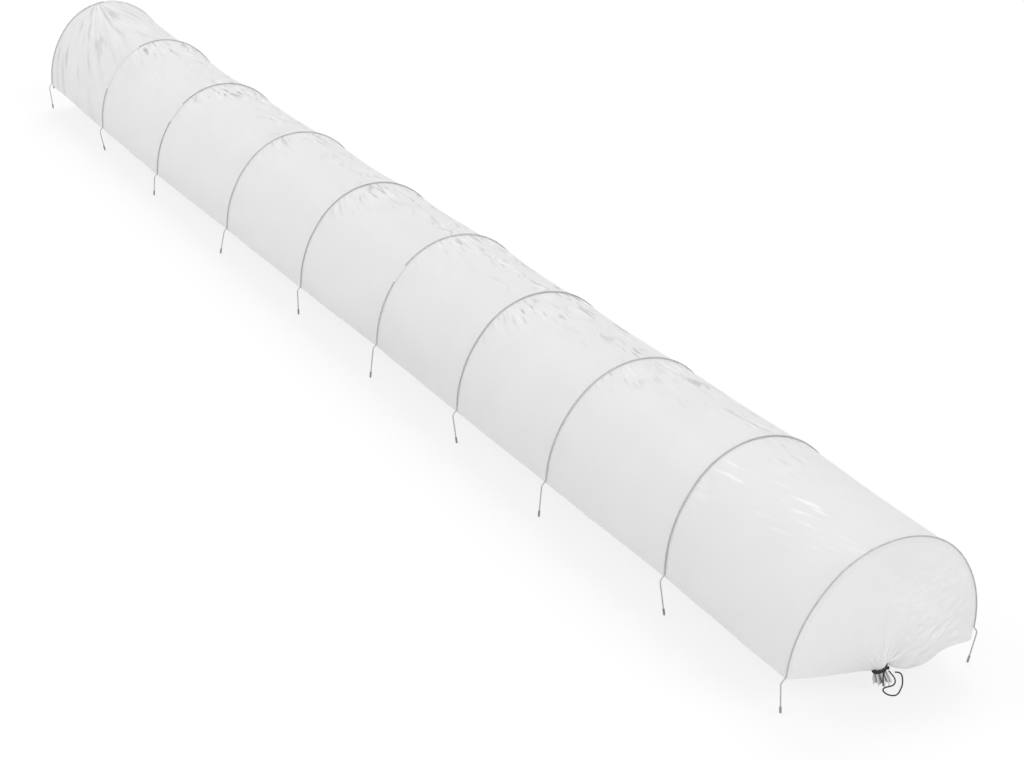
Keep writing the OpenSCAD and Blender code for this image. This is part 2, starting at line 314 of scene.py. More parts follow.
def hazyPolythene(name, grey, pale):  # blown film, milky with a soft sheen, haze bands and fine crinkle, with painted light low down, painted shade and painted highlights on its creases, and painted shade in pleat valleys
    look = polytheneLook
    material, tree = newMaterial(name)
    place = addNode(tree, "ShaderNodeTexCoord").outputs["Object"]
    haze = addNode(tree, "ShaderNodeTexNoise",
                   values=dict(Scale=perMetre(look["hazeSize"]), Detail=2.0, Roughness=0.4),
                   links=dict(Vector=place))
    tint = addNode(tree, "ShaderNodeMix", dict(data_type="RGBA"),
                   {mixUnder: linear(grey), mixOver: linear(pale)},
                   {mixShare: haze.outputs["Fac"]}).outputs[mixResult]
    height = addNode(tree, "ShaderNodeSeparateXYZ", links=dict(Vector=place))
    # painted light: the film turns paler towards the bottom
    low = addNode(tree, "ShaderNodeMapRange", links=dict(Value=height.outputs["Z"]), values={
        "From Min": look["noPaintedLightHeight"], "From Max": look["fullPaintedLightHeight"], "To Max": look["paintedLightShare"]})
    fold = addNode(tree, "ShaderNodeAttribute", dict(attribute_name="paintedFoldShade"))
    # painted light low down, then painted shade and painted highlights of the creases, then painted shade in
    # the pleat valleys
    layers = [(low.outputs[0], pureWhite)]
    for kind, shade in look["paintedCreaseShades"].items():
        layers += zip(addPaintedCreaseLight(tree, kind), (shade, pureWhite))
    layers.append((fold.outputs["Fac"], look["fold"]))
    for share, colour in layers:  # each one tints the film over those before it
        tint = addNode(tree, "ShaderNodeMix", dict(data_type="RGBA"), {mixOver: linear(colour)},
                       {mixShare: share, mixUnder: tint}).outputs[mixResult]
    stretched = addNode(tree, "ShaderNodeMapping", values=dict(Scale=look["crinkleStretch"]),
                        links=dict(Vector=place))
    crinkle = addNode(tree, "ShaderNodeTexNoise",
                      values=dict(Scale=perMetre(look["crinkleSize"]), Detail=3.0, Roughness=0.55),
                      links=dict(Vector=stretched.outputs[0]))
    addSurface(tree, look, crinkle.outputs["Fac"], links={"Base Color": tint})
    return material


clearLook = dict(
    colour="#F4F4F4", rippleSize=9,
    alphas=dict(clearPolythene=0.03, thinHazyPolythene=0.06, thickHazyPolythene=0.34),
    roughness=(0.16, 0.32), bump=dict(Strength=0.3, Distance=0.0004), shader=dict(IOR=1.51),
)


def clearPolythene(name, alpha):  # thin clear strip, glossy, so the wire below shows through
    material, tree = newMaterial(name)
    place = addNode(tree, "ShaderNodeTexCoord")
    ripple = addNode(tree, "ShaderNodeTexNoise",
                     values=dict(Scale=perMetre(clearLook["rippleSize"]), Detail=2.0),
                     links=dict(Vector=place.outputs["Object"]))
    addSurface(tree, clearLook, ripple.outputs["Fac"],
               {"Base Color": linear(clearLook["colour"]), "Alpha": alpha})
    return material


zincLook = dict(
    greys=("#AEAFB1", "#C0C1C3"), patchSize=6, grainSize=1.2,
    roughness=(0.36, 0.55), bump=dict(Strength=0.2, Distance=0.0001), shader=dict(Metallic=0.7),
)


def galvanisedWire():  # drawn steel wire with a dull zinc coat, in patches of two greys
    material, tree = newMaterial("galvanisedWire")
    place = addNode(tree, "ShaderNodeTexCoord").outputs["Object"]
    patch = addNode(tree, "ShaderNodeTexVoronoi", values=dict(Scale=perMetre(zincLook["patchSize"])),
                    links=dict(Vector=place))
    dark, pale = zincLook["greys"]
    grey = addNode(tree, "ShaderNodeMix", dict(data_type="RGBA"),
                   {mixUnder: linear(dark), mixOver: linear(pale)}, {mixShare: patch.outputs["Color"]})
    grain = addNode(tree, "ShaderNodeTexNoise",
                    values=dict(Scale=perMetre(zincLook["grainSize"]), Detail=2.0), links=dict(Vector=place))
    addSurface(tree, zincLook, grain.outputs["Fac"], links={"Base Color": grey.outputs[mixResult]})
    return material


vinylLook = dict(  # soft grey moulded vinyl, slightly mottled and scuffed
    name="mouldedVinyl", shades=("#8E9092", "#A4A6A8"), size=2.5, detail=3.0,
    bump=dict(Strength=0.15, Distance=0.0001), shader=dict(Roughness=0.5, IOR=1.53),
)
braidLook = dict(  # black polyester braid, dull with paler rubbed strands
    name="braidedPolyester", shades=("#0E0E0F", "#262627"), size=0.9, detail=2.0,
    bump=dict(Strength=0.4, Distance=0.0002), shader={"Roughness": 0.72, "IOR": 1.5, "Sheen Weight": 0.15},
)


def mottled(look):  # two shades in soft spots of the look's size
    material, tree = newMaterial(look["name"])
    place = addNode(tree, "ShaderNodeTexCoord")
    mottle = addNode(tree, "ShaderNodeTexNoise",
                     values=dict(Scale=perMetre(look["size"]), Detail=look["detail"]),
                     links=dict(Vector=place.outputs["Object"]))
    dark, pale = look["shades"]
    colour = addNode(tree, "ShaderNodeMix", dict(data_type="RGBA"),
                     {mixUnder: linear(dark), mixOver: linear(pale)}, {mixShare: mottle.outputs["Fac"]})
    addSurface(tree, look, mottle.outputs["Fac"], links={"Base Color": colour.outputs[mixResult]})
    return material


coverFilm = hazyPolythene("hazyPolythene", "#EFEFEF", "#F5F5F5")
gatheredFilm = hazyPolythene("gatheredPolythene", "#F4F4F4", "#FAFAFA")  # painted light: a lighter film for the drawn ends, lifting their tone
sleeveFilms = [clearPolythene(name, alpha) for name, alpha in clearLook["alphas"].items()]
zincWire = galvanisedWire()
greyVinyl = mottled(vinylLook)
blackBraid = mottled(braidLook)
print("materials made")

# Hoops and caps keep their CAD meshes

hoopCount = 10
hoopNames = [f"hoop_{i}" for i in range(1, hoopCount + 1)]
lastHoop, lastBay = hoopCount - 1, hoopCount - 2
endSides = {0: -1, lastHoop: 1}  # which way each end hoop faces


def dress(nodeName, material):
    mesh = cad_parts[nodeName].data
    mesh.materials.clear()
    mesh.materials.append(material)


for name in hoopNames:
    dress(name, zincWire)
for name in ("left_leg_caps", "right_leg_caps"):
    dress(name, greyVinyl)

# The arch, in metres: a crown bend between two flank bends that start upright at its feet

arch = dict(width=0.450, rise=0.266, shoulder=42.0, wireRadius=0.0015, crownShare=1 / 8,
            filmInset=0.0018, hemDrop=0.012)
halfWidth = arch["width"] / 2
shoulder = math.radians(arch["shoulder"])
centreGap = (arch["rise"] - halfWidth) / (math.cos(shoulder) + math.sin(shoulder) - 1)
flankRadius = halfWidth + centreGap * math.cos(shoulder)
crownRadius = arch["rise"] - centreGap * math.sin(shoulder)
hemAngle = math.degrees(arch["hemDrop"] / flankRadius)  # the film hangs straight down below the arch's feet


def readHoop(name):  # foot line and lean of a hoop and how high its arch starts, from its CAD mesh
    points = np.array([v.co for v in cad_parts[name].data.vertices])
    heights = points[:, 2]
    foot = points[heights < heights.min() + arch["wireRadius"]].mean(axis=0)
    topmost = heights.max() - arch["wireRadius"] * arch["crownShare"]
    crown = points[heights > topmost].mean(axis=0)
    back, up = crown[1] - foot[1], crown[2] - arch["wireRadius"] - foot[2]
    return dict(y=foot[1], z=foot[2], lean=math.atan2(back, up), low=math.hypot(back, up) - arch["rise"])


hoops = [readHoop(name) for name in hoopNames]


def archPoint(angle, out):  # angle in degrees, from 180 at the arch's left foot to 0 at its right one
    side = np.where(angle > 180 - arch["shoulder"], -1, np.where(angle < arch["shoulder"], 1, 0))
    radius = np.where(side == 0, crownRadius, flankRadius) + out
    turn = np.radians(np.clip(angle, 0, 180))
    below = flankRadius * np.radians(np.abs(angle - np.clip(angle, 0, 180)))
    x = radius * np.cos(turn) - side * (flankRadius - halfWidth)
    z = radius * np.sin(turn) + np.where(side == 0, arch["rise"] - crownRadius, 0) - below
    return x, z


def arcReach(angle):  # distance along the arch from the crown, positive to the right
    turn = np.pi / 2 - np.radians(angle)
    bend = np.pi / 2 - shoulder
    crown = np.clip(turn, -bend, bend) * crownRadius
    return crown + (turn - np.clip(turn, -bend, bend)) * flankRadius


def atHoop(h, x, y, z):  # a point of the upright hoop's plane, up from the arch's feet, moved with its lean
    hoop = hoops[h]
    up = z + hoop["low"]
    c, s = math.cos(hoop["lean"]), math.sin(hoop["lean"])
    x, y, z = np.broadcast_arrays(x, hoop["y"] + y * c + up * s, hoop["z"] - y * s + up * c)
    return np.stack([x, y, z], axis=-1)


# Cover: one film over all hoops, sagging between them and puckered where the crowns pull

coverLook = dict(
    rowsPerBay=40, rowCrowding=0.72, crownColumns=70, flankColumns=24, thickness=0.0006,
    sagDepth=0.016, sagShares=(0.2, 0.2, 0.3, 0.4, 0.5, 0.6, 0.7, 1.0, 1.0),
    heldBand=(0.003, 0.020),  # from held by a wire to free
    ripple=dict(depth=0.0006, stretch=3, length=0.30, count=7, seed=5),
    flutter=dict(depth=0.0012, reach=0.03, length=0.16, count=4, seed=40),  # the hem's own waves
    hemBand=0.016, hemSoftness=1.3, hemStep=0.0006, seed=11,
)
puckerShape = dict(
    depths=(0.5, 1.0, 0.9, 2.4, 1.4, 2.4, 1.0, 2.4, 2.8, 2.0),  # millimetres, by hoop
    perSide=13, spread=0.21, place=(0.1, 0.9), drift=(0.8, 2.6), skew=(-0.15, 0.15), reach=(0.04, 0.13),
    width=(0.004, 0.009), share=(0.35, 1.0), ways=(-1, -1, 1), rearSideShare=0.5,
)
foldShape = dict(
    depths=(0.3, 0.3, 0.4, 0.5, 0.6, 0.6, 0.9, 1.8, 4.0),  # millimetres, by bay
    perSide=6, low=(0.12, 0.36), high=(-0.03, 0.12), width=(0.008, 0.018), share=(0.4, 1.0), taper=0.6,
)
streakShape = dict(
    perBay=9, start=(-0.19, 0.19), middle=(0.1, 0.9), drift=(-0.12, 0.12), length=(0.08, 0.26),
    width=(0.004, 0.009), depth=0.0007, share=(0.5, 1.0),
)


def makeWrinkles():
    rng = np.random.default_rng(coverLook["seed"])
    puckers, folds, streaks = [], [], []

    def pick(shape, name):
        return rng.uniform(*shape[name])

    for h in range(hoopCount):
        look = puckerShape
        for side in (-1, 1):
            depth = look["depths"][h] / metre * (1 if side < 0 else look["rearSideShare"])
            for k in range(look["perSide"]):
                start = look["spread"] * (2 * (k + pick(look, "place")) / look["perSide"] - 1)
                puckers.append(dict(
                    bay=h - (side < 0), side=side, start=start,
                    drift=start * pick(look, "drift") + pick(look, "skew"),
                    reach=pick(look, "reach"), width=pick(look, "width"),
                    depth=depth * pick(look, "share") * rng.choice(look["ways"])))
    for bay in range(hoopCount - 1):
        look = foldShape
        for side in (-1, 1):
            for _ in range(look["perSide"]):
                folds.append(dict(
                    bay=bay, low=side * pick(look, "low"), high=side * pick(look, "high"),
                    width=pick(look, "width"),
                    depth=look["depths"][bay] / metre * pick(look, "share") * rng.choice((-1, 1))))
        look = streakShape
        for _ in range(look["perBay"]):
            streaks.append(dict(
                bay=bay, start=pick(look, "start"), middle=pick(look, "middle"), drift=pick(look, "drift"),
                length=pick(look, "length"), width=pick(look, "width"),
                depth=look["depth"] * pick(look, "share") * rng.choice((-1, 1))))
    return puckers, folds, streaks


puckers, folds, streaks = makeWrinkles()


def bayLength(bay, angle):
    x, z = archPoint(angle, -arch["filmInset"])
    return atHoop(bay + 1, x, 0, z)[..., 1] - atHoop(bay, x, 0, z)[..., 1]


def filmOut(bay, angle, share):  # how far the cover stands out from its plain arch, in metres
    look, ripple, flutter = coverLook, coverLook["ripple"], coverLook["flutter"]
    run = bayLength(bay, angle)
    reach = arcReach(angle)
    crown = np.sin(np.radians(np.clip(angle, 0, 180)))
    sag = look["sagDepth"] * look["sagShares"][bay] * hump(share) * crown
    free = smoothStep(*look["heldBand"], np.minimum(share, 1 - share) * run)
    height = ripple["depth"] * waves(reach * ripple["stretch"], share * run + bay, ripple, bay) * free
    for p in puckers:
        if p["bay"] == bay:
            away = share * run if p["side"] > 0 else (1 - share) * run
            spread = p["width"] * (1 + away / p["reach"])
            line = (reach - p["start"] - p["drift"] * away) / spread
            height += p["depth"] * np.exp(-line ** 2 - (away / p["reach"]) ** 2) * free
    for f in folds:
        if f["bay"] == bay:
            line = (reach - f["low"] - (f["high"] - f["low"]) * share) / f["width"]
            height += f["depth"] * np.exp(-line ** 2) * hump(share) ** foldShape["taper"] * free
    for s in streaks:
        if s["bay"] == bay:
            away = (share - s["middle"]) * run
            line = (reach - s["start"] - s["drift"] * away) / s["width"]
            height += s["depth"] * np.exp(-line ** 2 - (2 * away / s["length"]) ** 2) * free
    aboveHem = arcReach(np.array(-hemAngle)) - np.abs(reach)
    hemWave = flutter["depth"] * waves(share * run + bay, reach * 0, flutter, bay)
    height += hemWave * free * np.exp(-aboveHem / flutter["reach"])
    height += look["hemStep"] * (
        1 - smoothStep(look["hemBand"], look["hemBand"] * look["hemSoftness"], aboveHem))
    return height - sag


def coverPoints(bay, angle, share, lift=0.0):
    x, z = archPoint(angle, filmOut(bay, angle, share) + lift - arch["filmInset"])
    front, rear = atHoop(bay, x, 0, z), atHoop(bay + 1, x, 0, z)
    return front + (rear - front) * np.broadcast_to(share, x.shape)[..., None]


def archAngles(crownColumns, flankColumns, below=0.0):  # closer columns over the crown
    side = arch["shoulder"]
    left = np.linspace(180 + below, 180 - side, flankColumns, endpoint=False)
    crown = np.linspace(180 - side, side, crownColumns, endpoint=False)
    return np.concatenate([left, crown, np.linspace(side, -below, flankColumns + 1)])


# Crease marks: painted shade and painted highlights that tint the film where its creases would be shaded or
# catch the light, in metres, with strengths by bay

crownLook = dict(
    strengths=(0.4, 0.7, 1.9, 0.8, 1.4, 0.8, 1.5, 1.5), crest=(0.01, 0.12), reach=(0.045, 0.09),
    longest=(-0.02, 0.12), fan=0.3, width=0.011, length=0.08, layer=7, patchStretch=0.4,
    patches=dict(length=0.13, count=5, seed=70, base=0.6, most=1.2),
)
rearFoldLook = dict(
    strength=0.58, hub=(-0.03, -0.02), turn=0.085, length=0.22, layer=90,
    least=0.25, fade=0.3, leftBand=(0.2, 0.35), leftLoss=0.5,
)
crestLook = dict(
    strengths=(-1.1, 1.0, 1.2, 1.1, 0.9, 1.0, 1.2, 1.0, 0.3),  # pale strokes, painted highlights, alone below 0
    front=dict(middle=-0.055, half=0.065, drift=-0.17, width=0.011, length=0.13, sway=0),
    others=dict(middle=0.05, half=0.08, drift=0.10, width=0.015, length=0.10, sway=0.014),
    layer=3, bends=dict(length=0.09, count=5, seed=110), patchStretch=(2, 0.5),
    patches=dict(length=0.13, count=5, seed=90, base=0.55, most=1.2),
)


def crownPaintedLight(bay, reach, away):  # painted shade and highlights of the puckers that fan out before the crown of the bay's rear hoop
    look = crownLook
    near, far = look["reach"]
    length = near + far * bell(reach, *look["longest"])
    fan = reach * look["fan"] / (look["fan"] + away)
    place = (fan / look["width"], away / look["length"], away * 0 + look["layer"] * bay)
    depth = look["strengths"][bay] * np.exp(-(away / length) ** 2) * bell(reach, *look["crest"])
    depth = depth * patches(reach, away * look["patchStretch"] + bay, look["patches"], bay)
    return np.stack(place, axis=-1), depth


def rearFoldPaintedLight(reach, away):  # painted shade and highlights of the last bay's folds, which fan out from the rear crown
    look = rearFoldLook
    turn = np.arctan2(reach - look["hub"][0], away - look["hub"][1])
    place = (turn / look["turn"], np.hypot(reach, away) / look["length"], away * 0 + look["layer"])
    fade = look["least"] + (1 - look["least"]) * np.exp(-(away / look["fade"]) ** 2)
    depth = look["strength"] * fade * (1 - look["leftLoss"] * smoothStep(*look["leftBand"], -reach))
    return np.stack(place, axis=-1), depth


def crestPaintedLight(bay, reach, along):  # painted shade and highlights of crinkles along the crest, and the front bay's straight pale streaks as painted highlights
    look = crestLook["front" if bay == 0 else "others"]
    across = reach - look["drift"] * along
    bend = look["sway"] * waves(reach, along, crestLook["bends"], bay)
    place = ((across + bend) / look["width"], along / look["length"], along * 0 + crestLook["layer"] * bay)
    wide, short = crestLook["patchStretch"]
    depth = crestLook["strengths"][bay] * bell(across, look["middle"], look["half"])
    depth = depth * patches(reach * wide, along * short, crestLook["patches"], bay)
    return np.stack(place, axis=-1), depth


def paintedCreaseLight(bay, angle, share):
    run = bayLength(bay, angle)
    reach, away = np.broadcast_arrays(arcReach(angle), (1 - share) * run)
    crown = rearFoldPaintedLight(reach, away) if bay == lastBay else crownPaintedLight(bay, reach, away)
    return crown + crestPaintedLight(bay, reach, share * run)


def makeCover():
    angles = archAngles(coverLook["crownColumns"], coverLook["flankColumns"], hemAngle)[None, :]
    steps = np.linspace(0, 1, coverLook["rowsPerBay"] + 1)
    shares = steps - coverLook["rowCrowding"] * np.sin(2 * np.pi * steps) / (2 * np.pi)
    rows, marks = [], []
    for bay in range(hoopCount - 1):
        kept = shares if bay == lastBay else shares[:-1]
        rows.append(coverPoints(bay, angles, kept[:, None]))
        marks.append(paintedCreaseLight(bay, angles, kept[:, None]))
    cover = filmShell("cover_film", np.concatenate(rows), coverLook["thickness"], coverFilm)
    puckerPlace, puckerDepth, streakPlace, streakDepth = (np.concatenate(part) for part in zip(*marks))
    # the creases' painted shade and painted highlights, stored on the film
    markPaintedLight(cover, "pucker", puckerPlace, puckerDepth)
    markPaintedLight(cover, "streak", streakPlace, streakDepth)
    finishPiece(cover, "cover_film", *[f"cover_bay_{i}" for i in range(1, hoopCount)])


makeCover()
print("cover made")

# Pockets: a clear strip welded over each hoop

pocketLook = dict(
    halfWidth=0.006, flangeShares=(1.0, 0.8, 0.64, 0.52, 0.44), rise=0.0006, wireGap=0.0003,
    thickness=0.0003, columns=(60, 24), wrapSteps=10, wrapTurn=(205, -25),  # degrees round the wire
    endFlange=(0.011, 0.007, 0.004, 0.002),  # an end hoop's flange turns down over the end film
    haze=(1, 1, 2, 1, 2, 0, 2, 0, 2, 0),  # how hazy the film over each wire is
    milky={4: (137, 148), 7: (132, 148), 8: (113, 157), 9: (34, 94)},  # degrees of arch by hoop
)


def nearHoop(h, angle, away):  # bay and share at a distance from a hoop, to the rear where positive
    if away >= 0 and h < lastHoop or h == 0:
        return h, np.abs(away) / bayLength(h, angle)
    return h - 1, 1 - np.abs(away) / bayLength(h - 1, angle)


def pocketRows(h, angles):  # rows of the strip, from the front flange over the wire to the rear flange
    lie, wrap = pocketLook["rise"], arch["wireRadius"] + pocketLook["wireGap"]

    def flange(side):  # from its outer edge in to the wire
        if endSides.get(h) == side:
            drops = [archPoint(angles, -(arch["filmInset"] + d)) for d in pocketLook["endFlange"]]
            return [atHoop(h, x, side * (wrap + lie), z) for x, z in drops]
        reaches = [side * (pocketLook["halfWidth"] * k) for k in pocketLook["flangeShares"]]
        places = [nearHoop(h, angles, away) for away in reaches]
        return [coverPoints(bay, angles, share, lie) for bay, share in places]

    over = []
    for turn in np.radians(np.linspace(*pocketLook["wrapTurn"], pocketLook["wrapSteps"])):
        x, z = archPoint(angles, wrap * math.sin(turn))
        over.append(atHoop(h, x, wrap * math.cos(turn), z))
    return np.stack(flange(-1) + over + flange(1)[::-1])


def makePockets():
    angles = archAngles(*pocketLook["columns"])
    steps = len(angles) - 1
    overWire, milky = 1, 2  # places in each strip's list of films
    for h in range(hoopCount):
        points = pocketRows(h, angles)
        strip = filmShell(f"pocket_strip_{h + 1}", points, pocketLook["thickness"], sleeveFilms[0])
        strip.data.materials.append(sleeveFilms[pocketLook["haze"][h]])
        strip.data.materials.append(coverFilm)
        low, high = pocketLook["milky"].get(h, (0, 0))  # a stretch of milky film that hides the wire
        spans = len(points) - 1
        first = len(pocketLook["endFlange" if h == 0 else "flangeShares"]) - 1
        last = first + pocketLook["wrapSteps"]
        for face in strip.data.polygons[:2 * spans * steps]:
            row, col = face.index // steps % spans, face.index % steps
            if low < angles[col] < high and (h < lastHoop or row < last):
                face.material_index = milky
            elif first < row < last:
                face.material_index = overWire
        finishPiece(strip, "pocket_film", f"hoop_pocket_{h + 1}")


makePockets()
print("pockets made")

weldLook = dict(
    reach=0.0048, sinkShare=1 / 3, arc=(176, 4), points=120, normalStep=0.001,
    sizes=dict(Spacing=0.008, Length=0.0055, Width=0.0012, Height=0.0004),
    bead=dict(Segments=8, Rings=4, Radius=0.5),  # a ball of width 1, drawn out to the sizes
)


def weldTree():  # beads of weld along each line, pressed into the film
    tree = bpy.data.node_groups.new("weldBeads", "GeometryNodeTree")
    tree.interface.new_socket("Lines", in_out="INPUT", socket_type="NodeSocketGeometry")
    for name in weldLook["sizes"]:
        tree.interface.new_socket(name, in_out="INPUT", socket_type="NodeSocketFloat")
    tree.interface.new_socket("Beads", in_out="OUTPUT", socket_type="NodeSocketGeometry")
    given = addNode(tree, "NodeGroupInput").outputs
    lines = addNode(tree, "GeometryNodeMeshToCurve", links=dict(Mesh=given["Lines"]))
    points = addNode(tree, "GeometryNodeCurveToPoints", dict(mode="LENGTH"),
                     links=dict(Curve=lines.outputs[0], Length=given["Spacing"]))
    normal = addNode(tree, "GeometryNodeInputNamedAttribute", dict(data_type="FLOAT_VECTOR"),
                     dict(Name="filmNormal"))
    along = addNode(tree, "FunctionNodeAlignRotationToVector", dict(axis="X"),
                    links=dict(Vector=points.outputs["Tangent"]))
    upright = addNode(tree, "FunctionNodeAlignRotationToVector", dict(axis="Z", pivot_axis="X"),
                      links=dict(Rotation=along.outputs[0], Vector=normal.outputs["Attribute"]))
    size = addNode(tree, "ShaderNodeCombineXYZ",
                   links=dict(X=given["Length"], Y=given["Width"], Z=given["Height"]))
    bead = addNode(tree, "GeometryNodeMeshUVSphere", values=weldLook["bead"])
    soft = addNode(tree, "GeometryNodeSetShadeSmooth", links=dict(Geometry=bead.outputs["Mesh"]))
    placed = addNode(tree, "GeometryNodeInstanceOnPoints",
                     links=dict(Points=points.outputs["Points"], Instance=soft.outputs[0],
                                Rotation=upright.outputs[0], Scale=size.outputs[0]))
    real = addNode(tree, "GeometryNodeRealizeInstances", links=dict(Geometry=placed.outputs[0]))
    finished = addNode(tree, "GeometryNodeSetMaterial", values=dict(Material=coverFilm),
                       links=dict(Geometry=real.outputs[0]))
    addNode(tree, "NodeGroupOutput", links=dict(Beads=finished.outputs[0]))
    return tree


def runTree(piece, tree, sizes):  # the tree's result as a plain mesh
    modifier = piece.modifiers.new(tree.name, "NODES")
    modifier.node_group = tree
    for item in tree.interface.items_tree:
        if item.in_out == "INPUT" and item.name in sizes:
            modifier[item.identifier] = sizes[item.name]
    depsgraph = bpy.context.evaluated_depsgraph_get()
    made = bpy.data.meshes.new_from_object(piece.evaluated_get(depsgraph))
    piece.modifiers.remove(modifier)
    piece.data = made


def makeWelds():
    angles = np.linspace(*weldLook["arc"], weldLook["points"])
    lift = pocketLook["rise"] + pocketLook["thickness"] * weldLook["sinkShare"]
    places, normals, edges = [], [], []
    for h in range(hoopCount):
        for side in (-1, 1):
            if endSides.get(h) == side:
                continue
            bay, share = nearHoop(h, angles, side * weldLook["reach"])
            line, above = (coverPoints(bay, angles, share, lift + d) for d in (0, weldLook["normalStep"]))
            first = len(places)
            places += line.tolist()
            normals += (above - line).tolist()
            edges += [(first + k, first + k + 1) for k in range(len(angles) - 1)]
    mesh = bpy.data.meshes.new("pocket_welds")
    mesh.from_pydata(places, edges, [])
    stored = mesh.attributes.new("filmNormal", "FLOAT_VECTOR", "POINT")
    stored.data.foreach_set("vector", np.array(normals).ravel())
    welds = bpy.data.objects.new("pocket_welds", mesh)
    scene.collection.objects.link(welds)
    runTree(welds, weldTree(), weldLook["sizes"])
    finishPiece(welds, "pocket_film")


makeWelds()
print("welds made")

# Drawn ends: a film fan from each end arch to the tied neck

neckLook = dict(radius=0.0125, tieGap=0.0002, turns=3, tilt=dict(front=0.42, rear=0.0),
                lift=dict(front=0.004, rear=0.0))


def neckOf(end):  # centre, heights and tilt of the tied neck, from the CAD frill
    low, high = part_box(f"{end}_gather_frill")
    return dict(x=(low.x + high.x) / 2, y=(low.y + high.y) / 2, top=high.z + neckLook["lift"][end],
                hem=low.z, tilt=neckLook["tilt"][end])


endLook = dict(  # pairs in front and rear are for the left and the right side
    columns=260, rows=70, rowCrowding=0.9, thickness=0.0006, sideBand=(-0.06, 0.14),
    pleats=((7, 1.0), (12, 0.7), (19, 0.5)), pleatSway=3, pleatDepth=0.0016, neckPleat=0.0008,
    pleatRise=9, pleatSpread=0.5, neckRise=8, groove=(96, 7), grooveDepth=0.006, grooveRise=3, grooveFall=6,
    swagShares=(0, 0.08, 0.2, 0.38, 0.6, 0.75, 0.9, 1.0), swagSoftness=0.06, swagSpread=26.0, swagFall=24,
    swagDrops=(0.024, 0.021, 0.014, 0.010, 0.034, 0.048, 0.055, 0.050),
    dents=((1.0, dict(length=0.060, count=9, seed=0)), (0.6, dict(length=0.027, count=9, seed=1))),
    dentLevel=0.5, dentStart=(0.02, 0.25), dentStop=(0.85, 1.0), bellyShare=0.35,
    front=dict(hoop=0, side=-1, belly=(0.004, 0.014), swag=(0.0, 1.0), crumple=(0.0004, 0.0018),
               paintedGlints=1.0, seed=21),
    rear=dict(hoop=lastHoop, side=1, belly=(0.010, 0.008), swag=(0.5, 0.1), crumple=(0.0018, 0.0012),
              paintedGlints=0.4, seed=31),
)
# painted highlights on the end film's crumples
paintedGlintLook = dict(size=0.018, right=(-0.03, 0.08), low=(0.05, 0.10), high=(0.20, 0.30),
                patches=dict(length=0.07, count=5, seed=2, base=0.3, most=1))


def swagDrop(share):  # how far the film's lower edge droops, from its hoop to the neck
    soft = endLook["swagSoftness"]
    drops = [np.interp(share + d, endLook["swagShares"], endLook["swagDrops"]) for d in (-soft, 0, soft)]
    return sum(drops) / len(drops)


def fanPoints(end, angle, share):
    look, neck = endLook[end], neckOf(end)
    side = look["side"]
    edgeward = bell(np.minimum(angle, 180 - angle) + hemAngle, 0, endLook["swagSpread"])
    slip = np.where(angle > 90, *look["swag"]) * swagDrop(0) * edgeward  # the edge slips down along its hoop
    x, z = archPoint(angle - np.degrees(slip / flankRadius) * np.sign(90 - angle), -arch["filmInset"])
    edge = atHoop(look["hoop"], x, 0, z)
    turn = np.pi * (angle + hemAngle) / (180 + 2 * hemAngle)
    ringX, ringY = neckLook["radius"] * np.cos(turn), side * neckLook["radius"] * np.sin(turn)
    ring = np.stack([neck["x"] + ringX, neck["y"] + ringY, neck["top"] + neck["tilt"] * ringX], axis=-1)
    base = edge + (ring - edge) * share[..., None]
    rightward = smoothStep(*endLook["sideBand"], base[..., 0])  # 0 on the left, 1 on the right

    def between(pair):
        return pair[0] + (pair[1] - pair[0]) * rightward

    rng = np.random.default_rng(look["seed"])
    fold = 0
    for count, weight in endLook["pleats"]:
        start = rng.uniform(*anyPhase)
        sway = np.sin(endLook["pleatSway"] * turn + rng.uniform(*anyPhase))
        fold = fold + weight * np.sin(2 * count * turn + start + sway)
    neckward = share ** endLook["neckRise"]
    depth = endLook["pleatDepth"] * share ** endLook["pleatRise"] * (1 - neckward)
    depth = depth + endLook["neckPleat"] * neckward
    groove = bell(angle, *endLook["groove"]) * share ** endLook["grooveRise"]
    groove = groove * (1 - share ** endLook["grooveFall"])
    dents = sum(k * waves(base[..., 0], base[..., 2], dent, look["seed"]) for k, dent in endLook["dents"])
    dents = (endLook["dentLevel"] - np.abs(dents)) * smoothStep(*endLook["dentStart"], share)
    dents = dents * (1 - smoothStep(*endLook["dentStop"], share))
    middling = np.sin(turn) ** endLook["pleatSpread"]  # 0 at the film's side edges
    sideward = endLook["bellyShare"] + (1 - endLook["bellyShare"]) * np.abs(np.cos(turn))
    out = between(look["belly"]) * hump(share) * sideward + depth * fold * middling
    out = out - endLook["grooveDepth"] * groove + between(look["crumple"]) * dents
    base[..., 1] += side * out
    swag = between(look["swag"]) * swagDrop(share) * (1 - share ** endLook["swagFall"]) * edgeward
    base[..., 2] -= swag - slip * (1 - share)
    return base


def makeEnd(end):
    look = endLook[end]
    angles = np.linspace(180 + hemAngle, -hemAngle, endLook["columns"])[::look["side"]]
    angle, share = np.meshgrid(angles, np.linspace(0, 1, endLook["rows"]) ** endLook["rowCrowding"])
    points = fanPoints(end, angle, share)
    film = filmShell(f"{end}_drawn_end", points, endLook["thickness"], gatheredFilm)
    x, z = points[..., 0], points[..., 2]
    paintedGlints = smoothStep(*paintedGlintLook["right"], x) * smoothStep(*paintedGlintLook["low"], z)
    paintedGlints = paintedGlints * (1 - smoothStep(*paintedGlintLook["high"], z))  # painted highlights: pale specks half way up the right side
    paintedGlints = look["paintedGlints"] * paintedGlints * patches(x, z, paintedGlintLook["patches"], look["seed"])
    place = np.stack([x / paintedGlintLook["size"], z / paintedGlintLook["size"], x * 0], axis=-1)
    markPaintedLight(film, "streak", place, -paintedGlints)
    finishPiece(film, "cover_film", f"{end}_end_film")


# Cord: black braid, wound round each neck, and the front end's free tail

